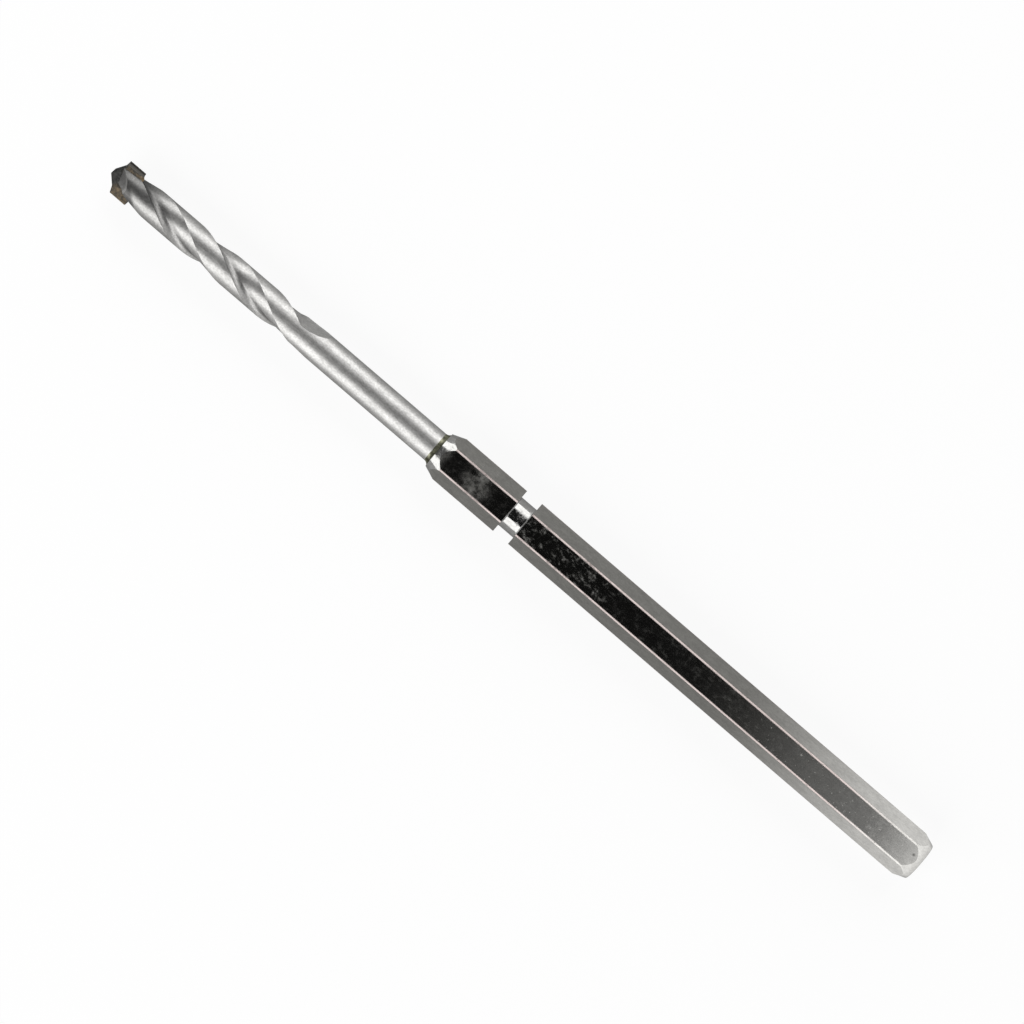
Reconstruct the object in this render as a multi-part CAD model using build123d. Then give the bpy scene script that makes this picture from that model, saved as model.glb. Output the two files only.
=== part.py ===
"""Carbide-tipped pilot drill bit with an 8 mm hexagon shank.

Every piece is drawn upright on the Z axis, with the middle of the shank's end face at the
origin, and is laid down at the end: the drill then points along +X and a flat of the
hexagon faces straight up. Angles are measured about the axis from that flat's middle.
All lengths are in millimetres and all angles in degrees.
"""
import os
from math import cos, radians, sin, tan

from build123d import *

# Hexagon shank
ACROSS_FLATS = 8.0
CORNER_DIAMETER = 9.06       # the six corners are turned off to this
SHANK_LENGTH = 109.15
END_FACE_RADIUS = 3.6        # both ends taper down to this
END_TAPER = 21.0             # of the end chamfers, from the axis
REAR_EDGE_ROUND = 0.4
GROOVE_START = 89.6          # from the shank's end face
GROOVE_WIDTH = 3.4
GROOVE_DIAMETER = 6.3
BORE_DEPTH = 12.0

# Round, fluted drill body
ROD_DIAMETER = 5.86
NOSE_TAPER = 4.8             # of the rod's front end, from the axis
NOSE_START = 174.8
FLUTE_PITCH = 34.5
FLUTE_END = 141.1            # where the flutes stop turning and begin to run out
FLUTE_ANGLE_AT_POINT = 97.7  # of the first flute's leading edge, level with the point
FLUTE_WIDTH = 94.5           # round the rod, from leading to trailing edge
WALL_RADIUS, WALL_ANGLE = 2.30, 8.4        # a place on the steep, hollow wall
VALLEY_RADIUS, VALLEY_ANGLE = 2.06, 26.6   # deepest place, where the wall meets the floor
FLOOR_RADIUS, FLOOR_ANGLE = 2.42, 63.7     # a place on the crowned floor
FLAT_WALL, FLAT_VALLEY, FLAT_FLOOR = 2.57, 2.15, 2.10   # their radii where the flute runs out
RUN_OUT_ANGLE = 46.0         # direction in which the cutting wheel lifts out of the flute
WHEEL_CENTRE = 18.3          # of that wheel, from the rod's axis
RUN_OUT_SWING = 25.0         # of the wheel's shape, enough to clear the rod
FLUTE_STEP = 15.0            # of turn between the sections that shape a flute
FLATTENING_STEPS = 2         # over which the flute flattens towards its run-out

# Carbide plate and the ground end of the rod that holds it
POINT_HEIGHT = 183.1         # of the point above the shank's end face
TIP_DIAMETER = 6.6
PLATE_THICKNESS = 1.8
PLATE_LENGTH = 4.97          # along the axis, under the point
PLATE_ANGLE = 68.7           # direction of the plate's width
PLATE_TILT = 4.6             # the plate is brazed in a little askew, as the photo shows
CENTRE_HALF_WIDTH = 1.98     # of the steep middle of the point
CENTRE_DROP = 1.43           # from the point to the ends of that middle
SHOULDER_DROP = 1.76         # from the point to the outer corners
CLEARANCE = 8.0              # behind the cutting edges
BEVEL_DEPTH = 0.72           # from the point to where the rod's two ground faces meet the axis
BEVEL_BACKWARD = 1.29        # fall of these faces away from the plate, per millimetre
BEVEL_SIDEWAYS = 0.25        # and their rise along it
GULLET_SIDE = 0.8            # from the axis to the opening ground in front of each wing
GULLET_CORNER = 179.9        # height at which the side of this opening begins to curve out
GULLET_BEND = (1.45, 178.6)  # a place on that curve, from the axis and above the end face
GULLET_FOOT = (2.4, 177.4)   # where the curve leaves the rod

# Filler metal
FILLER_THICKNESS = 0.1       # under the plate
FILLER_REACH = 0.7           # behind the wings, along the rod
FILLER_WIDTH = 2.3           # from the axis out along each wing
FILLER_INNER = 1.45          # from the axis to where the hollow corner starts
FILLER_HOLLOW = 0.35         # part of the corner's width and height left at its middle
RING_HEIGHT = 0.85           # of the ring round the rod, along the rod
RING_RADIUS = 3.42           # and on the shank's face

ROD_RADIUS = ROD_DIAMETER / 2
ROD_TAIL = SHANK_LENGTH - BORE_DEPTH
TIP_RADIUS = TIP_DIAMETER / 2
HALF_PLATE = PLATE_THICKNESS / 2
SPARE = 2.0                  # by which cutting shapes stand past what they cut


def on_circle(radius, angle):
    """A point in the XY plane at a radius and an angle."""
    return (radius * cos(radians(angle)), radius * sin(radians(angle)))


def about_axis(profile):
    """The solid made by turning an outline of (radius, height) points about the axis."""
    face = make_face(Polyline([(r, 0, z) for r, z in profile], close=True))
    return revolve(face, Axis.Z, 360)


def twice(shape):
    """A cutting shape and its copy half a turn round."""
    return [shape, Rot(0, 0, 180) * shape]


def hex_shank():
    """Hexagon bar with turned corners, tapered ends, a locking groove and a blind bore."""
    corner = CORNER_DIAMETER / 2
    taper_length = (corner - END_FACE_RADIUS) / tan(radians(END_TAPER))
    turned = about_axis([
        (0, 0),
        (END_FACE_RADIUS, 0),
        (corner, taper_length),
        (corner, SHANK_LENGTH - taper_length),
        (END_FACE_RADIUS, SHANK_LENGTH),
        (0, SHANK_LENGTH),
    ])
    rear_edge = turned.edges().filter_by(GeomType.CIRCLE).sort_by(Axis.Z)[0]
    turned = fillet(rear_edge, REAR_EDGE_ROUND)
    hexagon = RegularPolygon(ACROSS_FLATS / 2, 6, major_radius=False, rotation=30)
    bar = extrude(hexagon, SHANK_LENGTH) & turned
    groove = Pos(0, 0, GROOVE_START) * (
        Cylinder(corner + SPARE, GROOVE_WIDTH, align=(Align.CENTER, Align.CENTER, Align.MIN))
        - Cylinder(GROOVE_DIAMETER / 2, GROOVE_WIDTH, align=(Align.CENTER, Align.CENTER, Align.MIN))
    )
    bore = Pos(0, 0, ROD_TAIL) * Cylinder(
        ROD_RADIUS, BORE_DEPTH + SPARE, align=(Align.CENTER, Align.CENTER, Align.MIN))
    return bar - groove - bore


def flute_section(flatness):
    """What one flute takes out of the rod, with its leading edge on the X axis.

    From the leading edge a steep, hollow wall drops to the valley. From there a crowned floor
    climbs back to the rod's surface. At a flatness of 1 all of it is one nearly flat face.
    """
    leading = on_circle(ROD_RADIUS, 0)
    trailing = on_circle(ROD_RADIUS, FLUTE_WIDTH)
    wall = on_circle(WALL_RADIUS + flatness * (FLAT_WALL - WALL_RADIUS), WALL_ANGLE)
    valley = on_circle(VALLEY_RADIUS + flatness * (FLAT_VALLEY - VALLEY_RADIUS), VALLEY_ANGLE)
    floor = on_circle(FLOOR_RADIUS + flatness * (FLAT_FLOOR - FLOOR_RADIUS), FLOOR_ANGLE)
    outside = ROD_RADIUS + SPARE
    outline = [
        ThreePointArc(leading, wall, valley),
        ThreePointArc(valley, floor, trailing),
        Line(trailing, on_circle(outside, FLUTE_WIDTH)),
        ThreePointArc(on_circle(outside, FLUTE_WIDTH), on_circle(outside, FLUTE_WIDTH / 2),
                      on_circle(outside, 0)),
        Line(on_circle(outside, 0), leading),
    ]
    return make_face(outline)


def flute_cutters():
    """One flute: a right-hand twist of its section, its flattening end and its run-out."""
    length = POINT_HEIGHT + SPARE - FLUTE_END
    turn = 360 * length / FLUTE_PITCH
    steps = round(turn / FLUTE_STEP)
    sections = []
    for i in range(steps + 1):
        section = flute_section(max(0, 1 - i / FLATTENING_STEPS))
        sections.append(Pos(0, 0, length * i / steps) * Rot(0, 0, turn * i / steps) * section)
    twist = loft(sections[FLATTENING_STEPS:])
    flattening = loft(sections[:FLATTENING_STEPS + 1])
    wheel_centre = on_circle(WHEEL_CENTRE, RUN_OUT_ANGLE)
    wheel_axis = Axis((*wheel_centre, 0), (*on_circle(1, RUN_OUT_ANGLE - 90), 0))
    run_out = revolve(flute_section(1), wheel_axis, RUN_OUT_SWING)
    start_angle = FLUTE_ANGLE_AT_POINT - (POINT_HEIGHT - FLUTE_END) * 360 / FLUTE_PITCH
    in_place = Pos(0, 0, FLUTE_END) * Rot(0, 0, start_angle)
    return [in_place * twist, in_place * flattening, in_place * run_out]


def bevel_cutter():
    """What is ground off the rod's end on the +X side of the plate."""
    block = 4 * TIP_DIAMETER
    ground_face = Plane(origin=(0, 0, -BEVEL_DEPTH), x_dir=(0, 1, BEVEL_SIDEWAYS),
                        z_dir=(BEVEL_BACKWARD, -BEVEL_SIDEWAYS, 1))
    above = extrude(ground_face * Rectangle(block, block), block)
    near_side = Box(block, block, block, align=(Align.MIN, Align.CENTER, Align.CENTER))
    return above & near_side


def gullet_cutter():
    """What is ground off the rod in front of the cutting face of the wing on -Y."""
    outside = -2 * TIP_DIAMETER
    foot = (-GULLET_FOOT[0], GULLET_FOOT[1] - POINT_HEIGHT)
    bend = (-GULLET_BEND[0], GULLET_BEND[1] - POINT_HEIGHT)
    corner = (-GULLET_SIDE, GULLET_CORNER - POINT_HEIGHT)
    outline = [
        Line((-GULLET_SIDE, SPARE), corner),
        ThreePointArc(corner, bend, foot),
        Line(foot, (outside, foot[1])),
        Line((outside, foot[1]), (outside, SPARE)),
        Line((outside, SPARE), (-GULLET_SIDE, SPARE)),
    ]
    cutting_face = Plane(origin=(HALF_PLATE, 0, 0), x_dir=(0, 1, 0), z_dir=(1, 0, 0))
    return extrude(cutting_face * make_face(outline), TIP_DIAMETER)


def drill_body():
    """Fluted rod with a tapered nose, a ground end, a cross slot and a plain tail."""
    nose_radius = ROD_RADIUS - (POINT_HEIGHT - NOSE_START) * tan(radians(NOSE_TAPER))
    rod = about_axis([
        (0, ROD_TAIL),
        (ROD_RADIUS, ROD_TAIL),
        (ROD_RADIUS, NOSE_START),
        (nose_radius, POINT_HEIGHT),
        (0, POINT_HEIGHT),
    ])
    for cutter in flute_cutters():
        rod -= twice(cutter)
    slot = Pos(0, 0, -PLATE_LENGTH - FILLER_THICKNESS) * Box(
        PLATE_THICKNESS, 2 * TIP_DIAMETER, 2 * TIP_DIAMETER,
        align=(Align.CENTER, Align.CENTER, Align.MIN))
    for cutter in twice(bevel_cutter()) + twice(gullet_cutter()):
        rod -= at_point(cutter)
    for cutter in twice(point_cutter(TIP_DIAMETER)):
        rod -= at_point(tilted(cutter))
    return rod - at_point(tilted(slot))


def at_point(shape):
    """Put a shape into place that is drawn with the point as origin and the plate across X."""
    return Pos(0, 0, POINT_HEIGHT) * Rot(0, 0, PLATE_ANGLE - 90) * shape


def tilted(shape):
    """Give a shape drawn about the point the small lean of the plate in its slot."""
    return Rot(PLATE_TILT, 0, 0) * shape


def point_cutter(reach):
    """What is ground off the drill's top on the side of the wing that lies on +Y.

    The wing's cutting edge is on the plate's -X face. From there the clearance falls away to
    +X, over the plate and the steel behind it, as far as the given reach.
    """
    high = HALF_PLATE * tan(radians(CLEARANCE))
    slope = CENTRE_DROP / CENTRE_HALF_WIDTH
    shoulder_slope = (SHOULDER_DROP - CENTRE_DROP) / (TIP_RADIUS - CENTRE_HALF_WIDTH)
    outside = TIP_RADIUS + SPARE
    outline = [
        (-outside, high + outside * slope),
        (CENTRE_HALF_WIDTH, high - CENTRE_DROP),
        (outside, high - CENTRE_DROP - (outside - CENTRE_HALF_WIDTH) * shoulder_slope),
        (outside, high + outside * slope),
    ]
    face = make_face(Polyline([(-HALF_PLATE, y, z) for y, z in outline], close=True))
    length = reach / cos(radians(CLEARANCE))
    return extrude(face, length, dir=(1, 0, -tan(radians(CLEARANCE))))


def carbide_tip():
    """Roof-pointed plate whose two wings are ground round on their outer ends."""
    plate = Pos(0, 0, -PLATE_LENGTH) * Box(
        PLATE_THICKNESS, 2 * TIP_DIAMETER, PLATE_LENGTH + SPARE,
        align=(Align.CENTER, Align.CENTER, Align.MIN))
    for cutter in twice(point_cutter(PLATE_THICKNESS)):
        plate -= cutter
    return at_point(tilted(plate) & Cylinder(TIP_RADIUS, 4 * TIP_DIAMETER))


def tip_braze(body):
    """Filler under the plate, drawn up into a hollow corner behind each wing."""
    width = FILLER_WIDTH - FILLER_INNER
    foot = (0, FILLER_INNER, -PLATE_LENGTH - FILLER_REACH)
    middle = (0, FILLER_INNER + FILLER_HOLLOW * width, -PLATE_LENGTH - FILLER_HOLLOW * FILLER_REACH)
    edge = (0, FILLER_WIDTH, -PLATE_LENGTH)
    outline = [
        Line((0, 0, -PLATE_LENGTH), edge),
        ThreePointArc(edge, middle, foot),
        Line(foot, (0, 0, foot[2])),
        Line((0, 0, foot[2]), (0, 0, -PLATE_LENGTH)),
    ]
    half = extrude(make_face(outline), HALF_PLATE, both=True)
    filler = at_point(tilted(half + Rot(0, 0, 180) * half))
    return filler - body


def shank_braze():
    """Hollow-sided ring of filler in the corner between the rod and the shank's face."""
    foot = (RING_RADIUS, 0, SHANK_LENGTH)
    top = (ROD_RADIUS, 0, SHANK_LENGTH + RING_HEIGHT)
    corner = (ROD_RADIUS, 0, SHANK_LENGTH)
    middle = (ROD_RADIUS + FILLER_HOLLOW * (RING_RADIUS - ROD_RADIUS), 0,
              SHANK_LENGTH + FILLER_HOLLOW * RING_HEIGHT)
    outline = [Line(corner, foot), ThreePointArc(foot, middle, top), Line(top, corner)]
    return revolve(make_face(outline), Axis.Z, 360)


def main():
    """Make every piece, lay it down along X and write it to its own file."""
    body = drill_body()
    pieces = {
        "hex_shank": hex_shank(),
        "drill_body": body,
        "carbide_tip": carbide_tip(),
        "tip_braze": tip_braze(body),
        "shank_braze": shank_braze(),
    }
    lying = Plane(origin=(0, 0, 0), x_dir=(0, 0, 1), z_dir=(1, 0, 0)).location
    os.makedirs("parts", exist_ok=True)
    for name, piece in pieces.items():
        export_step(lying * piece, f"parts/{name}.step")


main()
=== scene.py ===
"""Looks of the pilot drill bit: materials, floor, studio light and the photograph's camera.

The drill lies along X with its point at +X, one flat of the hexagon down on the floor and one
facing up. All lengths are in metres. The CAD nodes are shown as they are: each gets a material
of its own, and none is replaced.
"""

import math

import bpy
from mathutils import Matrix, Vector


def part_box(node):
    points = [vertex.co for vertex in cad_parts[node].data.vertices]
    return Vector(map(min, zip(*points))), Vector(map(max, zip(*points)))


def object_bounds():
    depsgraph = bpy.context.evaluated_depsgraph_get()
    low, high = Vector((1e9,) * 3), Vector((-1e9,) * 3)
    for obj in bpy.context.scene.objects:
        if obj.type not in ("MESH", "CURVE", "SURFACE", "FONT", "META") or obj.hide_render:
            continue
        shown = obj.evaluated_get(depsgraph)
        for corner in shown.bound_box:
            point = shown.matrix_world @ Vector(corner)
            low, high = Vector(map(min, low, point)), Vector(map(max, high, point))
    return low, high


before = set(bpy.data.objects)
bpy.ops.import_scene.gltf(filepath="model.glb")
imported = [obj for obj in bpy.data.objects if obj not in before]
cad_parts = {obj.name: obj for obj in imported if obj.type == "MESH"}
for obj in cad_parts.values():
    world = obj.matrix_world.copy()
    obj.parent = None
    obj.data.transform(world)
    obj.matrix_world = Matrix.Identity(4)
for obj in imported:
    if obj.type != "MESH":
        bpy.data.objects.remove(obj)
CAD_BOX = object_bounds()

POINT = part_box("carbide_tip")[1].x
HALF_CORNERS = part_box("hex_shank")[1].y

# Camera: straight above the drill, leaning a little to one side, with the drill slanting across
# the picture from its point at the upper left to its shank at the lower right.
CAMERA_HEIGHT = 0.948
CAMERA_LEAN = math.radians(3.7)
PICTURE_SLANT = math.radians(40.63)
AIM_ALONG = 0.09264
AIM_ACROSS = 0.00009
SENSOR_WIDTH = 36.0                  # mm
LENS = 193.36                        # mm
FARTHEST_SEEN = 20

# Side lights: the name of each, its tilt from overhead in degrees, and its width.
SIDE_LIGHTS = (("light_near", -60.7, 0.75), ("light_far", 56.8, 0.95))
SIDE_LIGHT_DISTANCE = 1.0
SIDE_LIGHT_LENGTH = 1.55
SIDE_LIGHT_ALONG = 0.525
SIDE_LIGHT_RADIANCE = 3.0
SKY_ON_OBJECT = 0.2

FLOOR_SIZE = 8.0
FLOOR_COLOR = (0.93, 0.93, 0.93, 1)
FLOOR_GLOW = 0.9

# From here on, a pair with a place or levels in its name is where a fade starts and where it
# ends: along the drill, across it, out from its axis, or in a noise or a slope.

# Card above the drill, white at its rear end, then grey, nearly black over the shank's front and
# pale over the rod, and screen in front of the point. Only mirrors show them.
CARD_HEIGHT = 0.9
CARD_HALF_WIDTH = 0.59
CARD_REAR = -0.096
CARD_FRONT = 1.0
CARD_GREY_PLACE = (CARD_REAR, CARD_REAR + 0.03)
CARD_DARK_PLACE = (CARD_REAR + 0.066, CARD_REAR + 0.096)
CARD_PALE_PLACE = (0.14, 0.19)
CARD_GREY = 0.265
CARD_DARK = 0.02
CARD_PALE = 0.2
SCREEN_GREY = 0.3

# Levels between which most of a noise lies.
WIDE_LEVELS = (0.3, 0.7)
NARROW_LEVELS = (0.35, 0.65)

# Shank: its colours.
DRAWN_COLOR = (0.185, 0.182, 0.171)
TURNED_COLOR = (0.25, 0.248, 0.241)
REAR_PAINTED_REFLECTION_COLOR = (0.60, 0.592, 0.568)
EDGE_COLOR = (0.26, 0.225, 0.215)
# Its turned parts are those that slope along it and the floor of its groove.
TURNED_SLOPE_LEVELS = (0.05, 0.15)
GROOVE_RADIUS_PLACE = (0.0039, 0.0038)
# Its steel has a painted reflection making it lighter towards the rear, and a painted highlight
# most of all at the corners of the chamfer there.
REAR_PAINTED_REFLECTION_PLACE = (0.0, 0.045)
REAR_CHAMFER_PAINTED_HIGHLIGHT_PLACE = (0.005, 0.002)
REAR_CORNERS_HIGHLIGHT_RADIUS_PLACE = (0.0036, 0.0042)
REAR_CORNERS_PAINTED_HIGHLIGHT = 1.25
# A small nick near its rear end shows as a dark mark.
NICK = (0.0020, -0.0006, 0.004)
NICK_REACH = 0.00045
NICK_SHADE = 0.3
# Its six edges are dull, most of all at the rear end, and have their own colour elsewhere.
EDGE_RADIUS_PLACE = (HALF_CORNERS - 0.00006, HALF_CORNERS - 0.00001)
OFF_REAR_PLACE = (0.0, 0.022)
REAR_EDGE_ROUGHNESS = 0.6
EDGE_ROUGHNESS = 0.33
# It is smoother near the rear end, with small dull dots.
SMOOTH_PLACE = (0.018, 0.036)
SMOOTH_SHARE = 0.5
DOTS_PLACE = (0.05, 0.035)
# A speckled stretch behind the groove, a finger mark in front of it, a smudge at the front end.
SPECKS_MIDDLE = 0.081
SPECKS_REACH = 0.013
SPECKS_ELSEWHERE = 0.3
CLOUD_MIDDLE = 0.1003
CLOUD_REACH = 0.0045
SMUDGE_PLACE = (0.1062, 0.1078)
SMUDGE_ROUGHNESS = 0.35
# The floor of its groove is dull along each wall.
GROOVE_MIDDLE = 0.0913
GROOVE_REACH = 0.0017                # half its width
RIM_INNER_PLACE = (0.8 * GROOVE_REACH, 0.95 * GROOVE_REACH)
RIM_OUTER_PLACE = (1.1 * GROOVE_REACH, 1.05 * GROOVE_REACH)
RIM_ROUGHNESS = 0.5

# Rod: its colours, the last of them a painted shade near the tip.
ROD_COLOR = (0.35, 0.346, 0.338)
ROD_PATCH_COLOR = (0.285, 0.282, 0.275)
ROD_TIP_PAINTED_SHADE_COLOR = (0.275, 0.272, 0.265)
ROD_TIP_PAINTED_SHADE_PLACE = (0.158, 0.180)
ROD_ASLANT = 0.35                    # how bright it stays where it is seen aslant
# Its sides are all of it but the bevels and the end.
SIDES_SLOPE_LEVELS = (0.2, 0.08)
# Painted shade: one side is darker towards the tip, and the other darker still close to the tip.
SIDE_PAINTED_SHADE_PLACE = (0.166, 0.179)
SIDE_PAINTED_SHADE_ACROSS_PLACE = (0.0022, 0.0)
SIDE_PAINTED_SHADE_OFF_SIDES = 0.6
SIDE_PAINTED_SHADE = 0.42
BORDER_PAINTED_SHADE_SLANTING_PLACE = (0.1778, 0.1796)    # along the drill plus across it
BORDER_PAINTED_SHADE_SIDE_PLACE = (0.0, 0.0008)
BORDER_PAINTED_SHADE_OTHER_SIDE = 0.4
BORDER_PAINTED_SHADE = 0.32
# Painted shade lies in the valleys of the flutes.
VALLEY_RADIUS_PLACE = (0.00235, 0.0021)
FLUTES_PLACE = (0.143, 0.148)
VALLEY_PAINTED_SHADE = 0.7

# Carbide: its colours, those of the brown filler smeared over it, and its worn corner's.
CARBIDE_COLORS = ((0.026, 0.026, 0.025), (0.009, 0.009, 0.0085))
BROWN_COLORS = ((0.085, 0.066, 0.044), (0.034, 0.030, 0.024))
WORN_COLOR = (0.085, 0.081, 0.074)
# The brown is thin on one wing's end, and stays off the axis and off the point. The worn strip
# runs down the same wing.
THIN_BROWN_PLACE = (-0.0031, -0.0026)
THIN_BROWN = 0.4
BROWN_RADIUS_PLACE = (0.0012, 0.0018)
BROWN_PLACE = (POINT - 0.0012, POINT - 0.0022)
WORN_INNER_PLACE = (-0.0025, -0.0027)
WORN_OUTER_PLACE = (-0.0031, -0.0029)

# Filler metals: name, bright colour, dark colour and scale of the lumps.
TIP_FILLER = ("tip_filler", (0.30, 0.22, 0.13), (0.12, 0.09, 0.055), 1400)
RING_FILLER = ("ring_filler", (0.17, 0.17, 0.12), (0.035, 0.035, 0.024), 900)


def new_material(name):
    """An empty node material; returns the material and its node tree."""
    material = bpy.data.materials.new(name)
    material.use_nodes = True
    material.node_tree.nodes.clear()
    return material, material.node_tree


def add(tree, kind, **values):
    """A new node; values set its properties, or its inputs where they name one."""
    node = tree.nodes.new("ShaderNode" + kind)
    for key, value in values.items():
        if key in node.inputs:
            node.inputs[key].default_value = value
        else:
            setattr(node, key, value)
    return node


def feed(tree, value, socket):
    """Link a socket to an input, or set a plain number or colour on it."""
    if isinstance(value, bpy.types.NodeSocket):
        tree.links.new(value, socket)
    else:
        socket.default_value = value


def math_node(tree, operation, *values):
    """The output of a Math node; each value is a number or a socket."""
    node = add(tree, "Math", operation=operation)
    for socket, value in zip(node.inputs, values):
        feed(tree, value, socket)
    return node.outputs[0]


def product(tree, first, *others):
    """The product of several sockets."""
    for other in others:
        first = math_node(tree, "MULTIPLY", first, other)
    return first


def total(tree, first, *others):
    """The sum of several sockets."""
    for other in others:
        first = math_node(tree, "ADD", first, other)
    return first


def coordinates(tree, kind):
    """The sockets X, Y and Z of a point's place, "Object", or of its outward "Normal"."""
    split = add(tree, "SeparateXYZ")
    tree.links.new(add(tree, "TexCoord").outputs[kind], split.inputs[0])
    return split.outputs[:3]


def from_axis(tree, y, z):
    """A point's distance from the drill's axis."""
    return math_node(tree, "SQRT", total(tree, product(tree, y, y), product(tree, z, z)))


def away(tree, value, middle):
    """How far a value is from a number, on either side."""
    return math_node(tree, "ABSOLUTE", math_node(tree, "SUBTRACT", value, middle))


def noise(tree, scale, stretch=(1, 1, 1), detail=5, roughness=0.7):
    """The output of a noise over the object, from 0 to 1, with its grain stretched."""
    mapping = add(tree, "Mapping", Scale=stretch)
    tree.links.new(add(tree, "TexCoord").outputs["Object"], mapping.inputs["Vector"])
    texture = add(tree, "TexNoise", Scale=scale, Detail=detail, Roughness=roughness)
    tree.links.new(mapping.outputs[0], texture.inputs["Vector"])
    return texture.outputs[0]


def fade(tree, value, low, high, to_low=0.0, to_high=1.0):
    """A value's smooth passage from to_low at low to to_high at high."""
    node = add(tree, "MapRange", interpolation_type="SMOOTHSTEP")
    tree.links.new(value, node.inputs[0])
    for socket, number in zip(node.inputs[1:5], (low, high, to_low, to_high)):
        socket.default_value = number
    return node.outputs[0]


def mix_colors(tree, factor, first, second):
    """A colour between two; each is a colour or a socket, and factor is a socket."""
    node = add(tree, "Mix", data_type="RGBA")
    tree.links.new(factor, node.inputs[0])
    for socket, value in zip(node.inputs[6:8], (first, second)):
        feed(tree, (*value, 1) if isinstance(value, tuple) else value, socket)
    return node.outputs[2]


def scaled(tree, color, factor):
    """A colour made darker or lighter by a factor."""
    node = add(tree, "VectorMath", operation="SCALE")
    tree.links.new(color, node.inputs[0])
    tree.links.new(factor, node.inputs["Scale"])
    return node.outputs[0]


def varied(tree, color, pattern, darkest, lightest):
    """A colour that a noise makes darker in some places and lighter in others."""
    return scaled(tree, color, fade(tree, pattern, *WIDE_LEVELS, darkest, lightest))


def shaded(tree, color, where, shade):
    """A colour scaled by shade where a mask is 1, and left as it is where the mask is 0."""
    return scaled(tree, color, fade(tree, where, 0.0, 1.0, 1.0, shade))


def bumped(tree, height, strength, distance):
    """The normal of a surface raised by a height from 0 to 1."""
    node = add(tree, "Bump", Strength=strength, Distance=distance)
    tree.links.new(height, node.inputs["Height"])
    return node.outputs[0]


def finish_metal(tree, color, rough, normal, aslant=0.5):
    """A metal shader from sockets for colour, roughness and normal, dull where seen aslant."""
    shader = add(tree, "BsdfPrincipled", Metallic=1.0)
    shader.inputs["Specular Tint"].default_value = (aslant, aslant, aslant, 1)
    tree.links.new(color, shader.inputs["Base Color"])
    tree.links.new(rough, shader.inputs["Roughness"])
    tree.links.new(normal, shader.inputs["Normal"])
    output = add(tree, "OutputMaterial")
    tree.links.new(shader.outputs[0], output.inputs["Surface"])


def shank_color(tree, x, radius, turned, edge, off_rear):
    """The shank's colour from its steel, the painted reflection and highlight at its rear end, its
    mottling, its nick and its edges.
    """
    color = mix_colors(tree, turned, DRAWN_COLOR, TURNED_COLOR)
    # Painted reflection: lighter towards the rear end.
    color = mix_colors(tree, fade(tree, x, *REAR_PAINTED_REFLECTION_PLACE), REAR_PAINTED_REFLECTION_COLOR, color)
    mottling = noise(tree, 800, stretch=(0.6, 1, 1), detail=6)
    color = varied(tree, color, mottling, 0.9, 1.08)
    grain = noise(tree, 3000, stretch=(0.7, 1, 1), detail=4)
    color = varied(tree, color, grain, 0.9, 1.09)
    # Painted highlight: lighter at the corners of the rear chamfer.
    corners = product(tree, fade(tree, x, *REAR_CHAMFER_PAINTED_HIGHLIGHT_PLACE),
                      fade(tree, radius, *REAR_CORNERS_HIGHLIGHT_RADIUS_PLACE), turned)
    color = shaded(tree, color, corners, REAR_CORNERS_PAINTED_HIGHLIGHT)
    to_nick = add(tree, "VectorMath", operation="DISTANCE")
    tree.links.new(add(tree, "TexCoord").outputs["Object"], to_nick.inputs[0])
    to_nick.inputs[1].default_value = NICK
    nick = fade(tree, to_nick.outputs["Value"], 0.0, NICK_REACH, NICK_SHADE, 1.0)
    color = scaled(tree, color, nick)
    return mix_colors(tree, product(tree, edge, off_rear), color, EDGE_COLOR)


def shank_roughness(tree, x, radius, turned, edge, off_rear, drawn):
    """The shank's roughness from its drawn grain, specks, finger mark, edges, rims and dots."""
    rough = fade(tree, drawn, 0.3, 0.8, 0.07, 0.13)
    specks = fade(tree, noise(tree, 1100, stretch=(0.8, 1, 1), detail=8), 0.46, 0.74, to_high=0.42)
    speckled = fade(tree, away(tree, x, SPECKS_MIDDLE), SPECKS_REACH, 0.6 * SPECKS_REACH,
                    SPECKS_ELSEWHERE, 1.0)
    specks = product(tree, specks, math_node(tree, "MAXIMUM", turned, speckled))
    cloud = fade(tree, noise(tree, 650, stretch=(0.8, 1, 1), detail=8), 0.25, 0.85, to_high=0.55)
    cloud = product(tree, cloud, fade(tree, away(tree, x, CLOUD_MIDDLE), CLOUD_REACH, 0.0))
    edge_rough = product(tree, edge, fade(tree, off_rear, 0.0, 1.0, REAR_EDGE_ROUGHNESS,
                                          EDGE_ROUGHNESS))
    from_groove = away(tree, x, GROOVE_MIDDLE)
    rims = product(tree, fade(tree, from_groove, *RIM_INNER_PLACE),
                   fade(tree, from_groove, *RIM_OUTER_PLACE),
                   fade(tree, radius, *GROOVE_RADIUS_PLACE, to_high=RIM_ROUGHNESS))
    smudge = product(tree, noise(tree, 1500),
                     fade(tree, x, *SMUDGE_PLACE, to_high=SMUDGE_ROUGHNESS),
                     fade(tree, turned, 0.0, 1.0, 1.0, 0.0))
    dots = product(tree, fade(tree, noise(tree, 2400, detail=2, roughness=0.5),
                              0.66, 0.74, to_high=0.3),
                   fade(tree, x, *DOTS_PLACE))
    rough = product(tree, total(tree, rough, specks),
                    fade(tree, x, *SMOOTH_PLACE, SMOOTH_SHARE, 1.0))
    return total(tree, rough, cloud, edge_rough, rims, smudge, dots)


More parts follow.
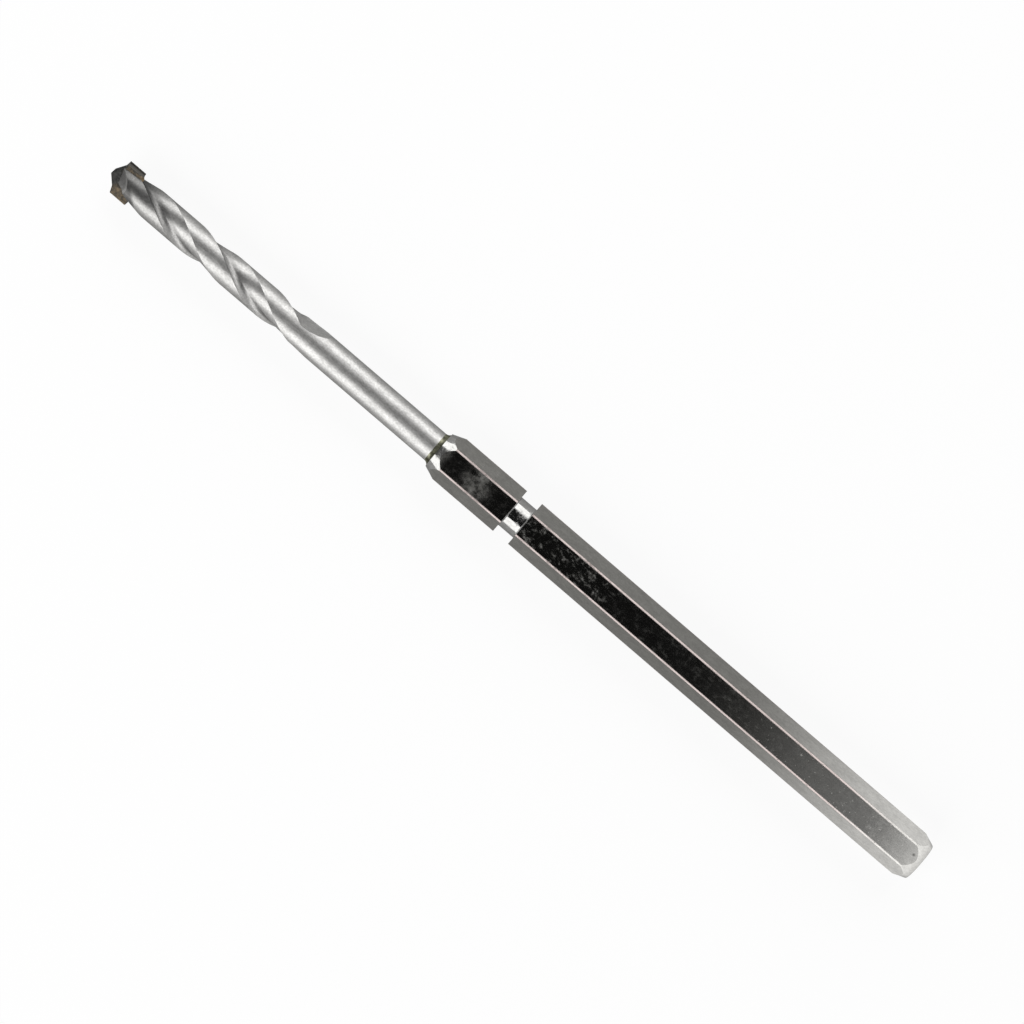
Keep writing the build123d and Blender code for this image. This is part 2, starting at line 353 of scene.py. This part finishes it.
def shank_steel():
    """Drawn hexagon steel with a painted reflection lighter to the rear, turned parts, worn edges
    and marks of use.
    """
    material, tree = new_material("shank_steel")
    x, y, z = coordinates(tree, "Object")
    radius = from_axis(tree, y, z)
    slope = math_node(tree, "ABSOLUTE", coordinates(tree, "Normal")[0])
    turned = math_node(tree, "MAXIMUM", fade(tree, slope, *TURNED_SLOPE_LEVELS),
                       fade(tree, radius, *GROOVE_RADIUS_PLACE))
    edge = fade(tree, radius, *EDGE_RADIUS_PLACE)
    off_rear = fade(tree, x, *OFF_REAR_PLACE)
    drawn = noise(tree, 9000, stretch=(0.012, 1, 1), detail=3, roughness=0.6)
    color = shank_color(tree, x, radius, turned, edge, off_rear)
    rough = shank_roughness(tree, x, radius, turned, edge, off_rear, drawn)
    finish_metal(tree, color, rough, bumped(tree, drawn, strength=0.08, distance=0.00001))
    return material


def rod_steel():
    """Satin steel with faint grinding marks round it, dull, with painted shade near the brazed
    tip.
    """
    material, tree = new_material("rod_steel")
    x, y, z = coordinates(tree, "Object")
    patches = fade(tree, noise(tree, 600, stretch=(0.6, 1, 1), detail=7), 0.32, 0.68)
    color = mix_colors(tree, patches, ROD_COLOR, ROD_PATCH_COLOR)
    # Painted shade: darker near the tip.
    color = mix_colors(tree, fade(tree, x, *ROD_TIP_PAINTED_SHADE_PLACE), color, ROD_TIP_PAINTED_SHADE_COLOR)
    sides = fade(tree, coordinates(tree, "Normal")[0], *SIDES_SLOPE_LEVELS)
    # Painted shade on one side towards the tip.
    side_painted_shade = product(tree, fade(tree, x, *SIDE_PAINTED_SHADE_PLACE), fade(tree, y, *SIDE_PAINTED_SHADE_ACROSS_PLACE),
                     fade(tree, sides, 0.0, 1.0, SIDE_PAINTED_SHADE_OFF_SIDES, 1.0))
    color = shaded(tree, color, side_painted_shade, SIDE_PAINTED_SHADE)
    # Painted shade on the other side close to the tip, behind a slanting border.
    border_painted_shade = product(tree, fade(tree, total(tree, x, y), *BORDER_PAINTED_SHADE_SLANTING_PLACE), sides,
                    fade(tree, y, *BORDER_PAINTED_SHADE_SIDE_PLACE, BORDER_PAINTED_SHADE_OTHER_SIDE, 1.0))
    color = shaded(tree, color, border_painted_shade, BORDER_PAINTED_SHADE)
    # Painted shade in the valleys of the flutes.
    valley_painted_shade = product(tree, fade(tree, from_axis(tree, y, z), *VALLEY_RADIUS_PLACE),
                    fade(tree, x, *FLUTES_PLACE))
    color = shaded(tree, color, valley_painted_shade, VALLEY_PAINTED_SHADE)
    mottling = noise(tree, 3600, stretch=(0.8, 1, 1), detail=4)
    color = varied(tree, color, mottling, 0.78, 1.18)
    grain = noise(tree, 5200, stretch=(1, 0.35, 0.35), detail=4, roughness=0.6)
    rough = fade(tree, grain, 0.25, 0.8, 0.38, 0.50)
    normal = bumped(tree, grain, strength=0.35, distance=0.00001)
    finish_metal(tree, color, rough, normal, ROD_ASLANT)
    return material


def carbide():
    """Dark ground carbide with brown filler smeared over its sides and one worn wing."""
    material, tree = new_material("carbide")
    x, y, z = coordinates(tree, "Object")
    color = mix_colors(tree, fade(tree, noise(tree, 1500, detail=6), 0.35, 0.7), *CARBIDE_COLORS)
    stain = fade(tree, noise(tree, 900, roughness=0.6), 0.3, 0.6)
    stain = product(tree, stain, fade(tree, y, *THIN_BROWN_PLACE, THIN_BROWN, 1.0),
                    fade(tree, from_axis(tree, y, z), *BROWN_RADIUS_PLACE),
                    fade(tree, x, *BROWN_PLACE))
    brown = mix_colors(tree, fade(tree, noise(tree, 2200), *NARROW_LEVELS), *BROWN_COLORS)
    color = mix_colors(tree, stain, color, brown)
    worn = product(tree, fade(tree, y, *WORN_INNER_PLACE), fade(tree, y, *WORN_OUTER_PLACE))
    color = mix_colors(tree, worn, color, WORN_COLOR)
    rough = fade(tree, noise(tree, 4000, detail=4, roughness=0.6), *WIDE_LEVELS, 0.38, 0.55)
    lumps = noise(tree, 2600, roughness=0.65)
    finish_metal(tree, color, rough, bumped(tree, lumps, strength=0.5, distance=0.00003))
    return material


def filler(name, bright, dark, scale):
    """Dull, lumpy braze metal between a bright and a dark colour."""
    material, tree = new_material(name)
    lumps = noise(tree, scale, roughness=0.65)
    color = mix_colors(tree, fade(tree, lumps, *NARROW_LEVELS), dark, bright)
    rough = fade(tree, lumps, *WIDE_LEVELS, 0.55, 0.4)
    finish_metal(tree, color, rough, bumped(tree, lumps, strength=0.6, distance=0.00005))
    return material


def paint(node, material):
    """Put one material on a CAD node."""
    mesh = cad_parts[node].data
    mesh.materials.clear()
    mesh.materials.append(material)


def seen_rays(tree):
    """1 for rays from the camera and for mirrored and transmitted rays, else 0."""
    path = add(tree, "LightPath")
    seen = math_node(tree, "MAXIMUM", path.outputs["Is Camera Ray"], path.outputs["Is Glossy Ray"])
    return math_node(tree, "MAXIMUM", seen, path.outputs["Is Transmission Ray"])


def plane(name, corners, material):
    """A flat four-cornered stage piece."""
    mesh = bpy.data.meshes.new(name)
    mesh.from_pydata(corners, [], [tuple(range(len(corners)))])
    mesh.materials.append(material)
    piece = bpy.data.objects.new(name, mesh)
    bpy.context.scene.collection.objects.link(piece)
    return piece


def make_floor():
    """Pale floor under the drill, lifted towards white where it is seen, with its shadow kept."""
    material, tree = new_material("floor")
    matte = add(tree, "BsdfDiffuse", Color=FLOOR_COLOR)
    glow = add(tree, "Emission")
    mixer = add(tree, "MixShader")
    tree.links.new(math_node(tree, "MULTIPLY", seen_rays(tree), FLOOR_GLOW), mixer.inputs[0])
    tree.links.new(matte.outputs[0], mixer.inputs[1])
    tree.links.new(glow.outputs[0], mixer.inputs[2])
    output = add(tree, "OutputMaterial")
    tree.links.new(mixer.outputs[0], output.inputs["Surface"])
    half = FLOOR_SIZE / 2
    low = CAD_BOX[0][2]
    plane("floor", [(-half, -half, low), (half, -half, low), (half, half, low),
                    (-half, half, low)], material)


def glowing(name, strength=1.0):
    """A material that only shines; returns it with its tree and its strength's socket."""
    material, tree = new_material(name)
    glow = add(tree, "Emission", Strength=strength)
    output = add(tree, "OutputMaterial")
    tree.links.new(glow.outputs[0], output.inputs["Surface"])
    return material, tree, glow.inputs["Strength"]


def card_material():
    """White at the rear end, then grey, nearly black over the shank's front, pale over the rod."""
    material, tree, strength = glowing("card")
    x = coordinates(tree, "Object")[0]
    rear = fade(tree, x, *CARD_GREY_PLACE, 1.0, CARD_GREY)
    middle = fade(tree, x, *CARD_DARK_PLACE, 1.0, CARD_DARK / CARD_GREY)
    front = fade(tree, x, *CARD_PALE_PLACE, to_high=CARD_PALE)
    tree.links.new(total(tree, product(tree, rear, middle), front), strength)
    return material


def make_cards():
    """Card above the drill and grey screen in front of its point, seen in mirrors only."""
    side = CARD_HALF_WIDTH
    card = plane("card", [(CARD_REAR, -side, CARD_HEIGHT), (CARD_FRONT, -side, CARD_HEIGHT),
                          (CARD_FRONT, side, CARD_HEIGHT), (CARD_REAR, side, CARD_HEIGHT)],
                 card_material())
    screen = plane("screen", [(CARD_FRONT, -side, 0), (CARD_FRONT, side, 0),
                              (CARD_FRONT, side, CARD_HEIGHT), (CARD_FRONT, -side, CARD_HEIGHT)],
                   glowing("screen", SCREEN_GREY)[0])
    for piece in (card, screen):
        piece.visible_camera = False
        piece.visible_diffuse = False
        piece.visible_shadow = False


def soft_light(name, aim, direction, distance, size, radiance):
    """A rectangular soft light that stands off in a direction from the place it is aimed at."""
    lamp = bpy.data.lights.new(name, "AREA")
    lamp.shape = "RECTANGLE"
    lamp.size, lamp.size_y = size
    lamp.energy = radiance * math.pi * size[0] * size[1]
    light = bpy.data.objects.new(name, lamp)
    light.location = aim + direction * distance
    light.rotation_euler = direction.to_track_quat("Z", "Y").to_euler()
    bpy.context.scene.collection.objects.link(light)


def make_lights():
    """A long soft light on each side of the drill."""
    for name, degrees, width in SIDE_LIGHTS:
        tilt = math.radians(degrees)
        direction = Vector((0, math.sin(tilt), math.cos(tilt)))
        soft_light(name, Vector((SIDE_LIGHT_ALONG, 0, 0)), direction, SIDE_LIGHT_DISTANCE,
                   (SIDE_LIGHT_LENGTH, width), SIDE_LIGHT_RADIANCE)


def make_sky():
    """White surroundings where they are seen, and a weaker light from them on the object."""
    world = bpy.data.worlds.new("sky")
    world.use_nodes = True
    tree = world.node_tree
    tree.nodes.clear()
    background = add(tree, "Background", Color=(1, 1, 1, 1))
    strength = math_node(tree, "MAXIMUM", seen_rays(tree), SKY_ON_OBJECT)
    tree.links.new(strength, background.inputs["Strength"])
    output = add(tree, "OutputWorld")
    tree.links.new(background.outputs[0], output.inputs["Surface"])
    bpy.context.scene.world = world


def make_camera():
    """The photograph's camera."""
    to_shank = Vector((-1, 0, 0))
    toward_camera = Vector((0, -math.sin(CAMERA_LEAN), math.cos(CAMERA_LEAN)))
    across = toward_camera.cross(to_shank)
    right = math.cos(PICTURE_SLANT) * to_shank + math.sin(PICTURE_SLANT) * across
    up = math.cos(PICTURE_SLANT) * across - math.sin(PICTURE_SLANT) * to_shank
    data = bpy.data.cameras.new("camera")
    data.sensor_width = SENSOR_WIDTH
    data.lens = LENS
    data.clip_end = FARTHEST_SEEN
    camera = bpy.data.objects.new("camera", data)
    camera.matrix_world = Matrix((right, up, toward_camera)).transposed().to_4x4()
    camera.location = (Vector((AIM_ALONG, 0, 0)) + across * AIM_ACROSS
                       + toward_camera * CAMERA_HEIGHT)
    bpy.context.scene.collection.objects.link(camera)
    bpy.context.scene.camera = camera


paint("hex_shank", shank_steel())
paint("drill_body", rod_steel())
paint("carbide_tip", carbide())
paint("tip_braze", filler(*TIP_FILLER))
paint("shank_braze", filler(*RING_FILLER))
make_floor()
make_cards()
make_lights()
make_sky()
make_camera()
bpy.context.scene.view_settings.view_transform = "Standard"
